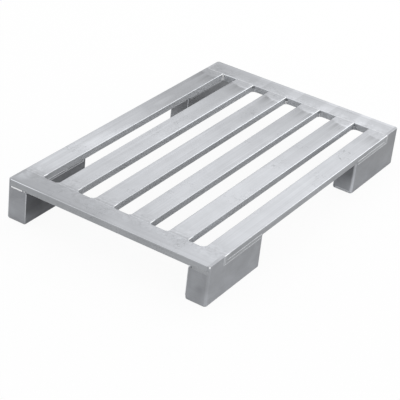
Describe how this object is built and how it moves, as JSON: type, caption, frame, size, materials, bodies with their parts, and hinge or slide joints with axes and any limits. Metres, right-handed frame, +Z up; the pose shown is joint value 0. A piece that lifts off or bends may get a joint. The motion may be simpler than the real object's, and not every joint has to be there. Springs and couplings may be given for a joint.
{
  "type": "aluminum pallet",
  "caption": "Flat welded aluminum pallet with spaced tubular deck boards between cross rails, standing on long box feet at its corners, open for forks on every side.",
  "frame": {"origin": "on the floor, under the middle of the deck", "axes": "+X along the pallet's long side from the near end to the far end, +Y to the pallet's left across the deck boards, +Z up"},
  "size_m": [1.2212, 0.764, 0.144],
  "materials": {
    "rail_tube": "mill finish, lightly brushed along the tube",
    "slat_tube": "mill finish, lightly brushed along the tube",
    "foot_sheet": "dull mill finish sheet",
    "weld_bead": "ground and rippled weld"
  },
  "bodies": {
    "root": {"end_rail_near": "rail_tube", "end_rail_far": "rail_tube", "side_rail_left": "rail_tube", "side_rail_right": "rail_tube", "deck_slat_1": "slat_tube", "deck_slat_2": "slat_tube", "deck_slat_3": "slat_tube", "deck_slat_4": "slat_tube", "foot_shell_near_right": "foot_sheet", "foot_base_near_right": "foot_sheet", "foot_welds_near_right": "weld_bead", "foot_shell_near_left": "foot_sheet", "foot_base_near_left": "foot_sheet", "foot_welds_near_left": "weld_bead", "foot_shell_far_right": "foot_sheet", "foot_base_far_right": "foot_sheet", "foot_welds_far_right": "weld_bead", "foot_shell_far_left": "foot_sheet", "foot_base_far_left": "foot_sheet", "foot_welds_far_left": "weld_bead", "deck_welds_near": "weld_bead", "deck_welds_far": "weld_bead"}
  },
  "joints": []
}
